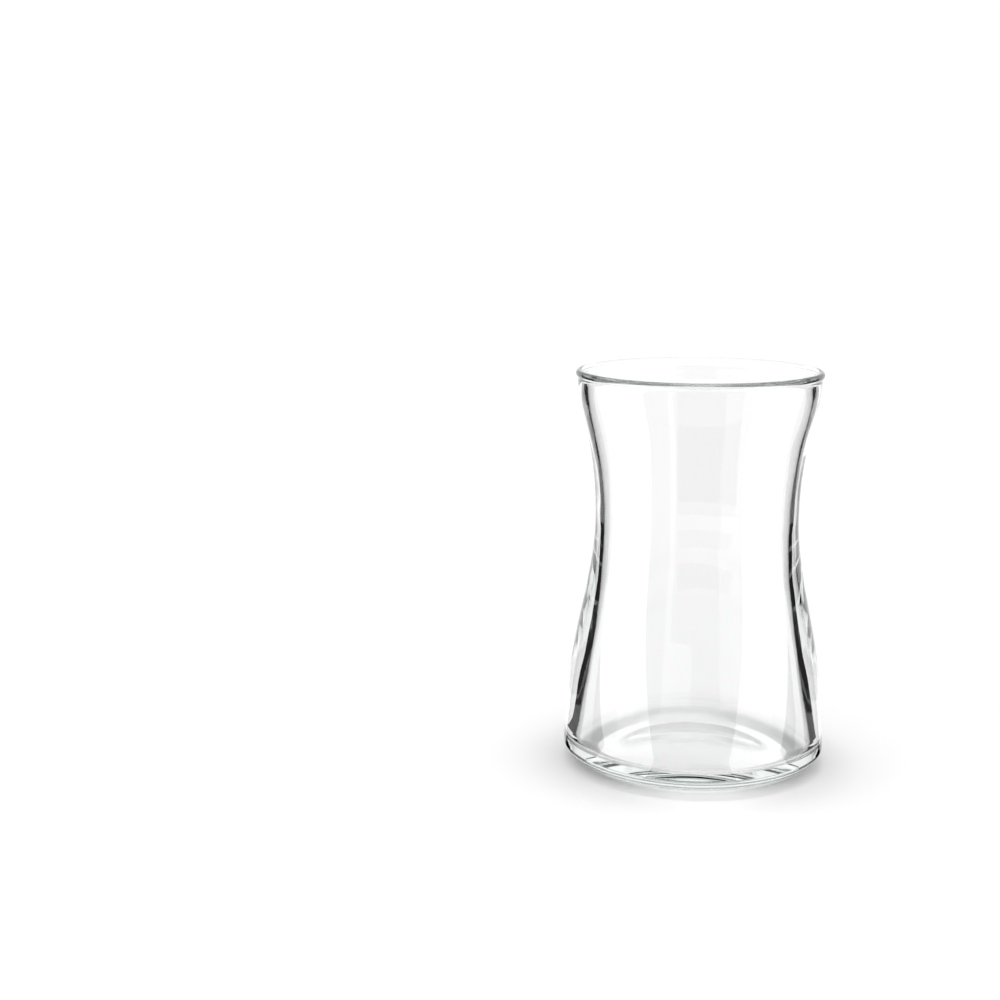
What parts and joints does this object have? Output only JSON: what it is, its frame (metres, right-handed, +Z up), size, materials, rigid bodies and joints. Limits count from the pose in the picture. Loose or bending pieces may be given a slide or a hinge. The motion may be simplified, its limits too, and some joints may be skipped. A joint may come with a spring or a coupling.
{
  "type": "turkish tea glass",
  "caption": "Clear waisted tea glass without a handle: a wide heavy foot, a narrow waist to hold it by, and a flared mouth with a rounded lip. It is empty.",
  "frame": {"origin": "middle of the foot, at the level of the ring that the glass stands on", "axes": "+Z up along the glass's axis of revolution; the glass is the same all round, so +X and +Y are free"},
  "size_m": [0.0572, 0.0572, 0.087],
  "materials": {
    "clear_glass": "clear soda-lime glass, polished all over, fire-polished lip"
  },
  "bodies": {
    "root": {"glass": "clear_glass"}
  },
  "joints": []
}
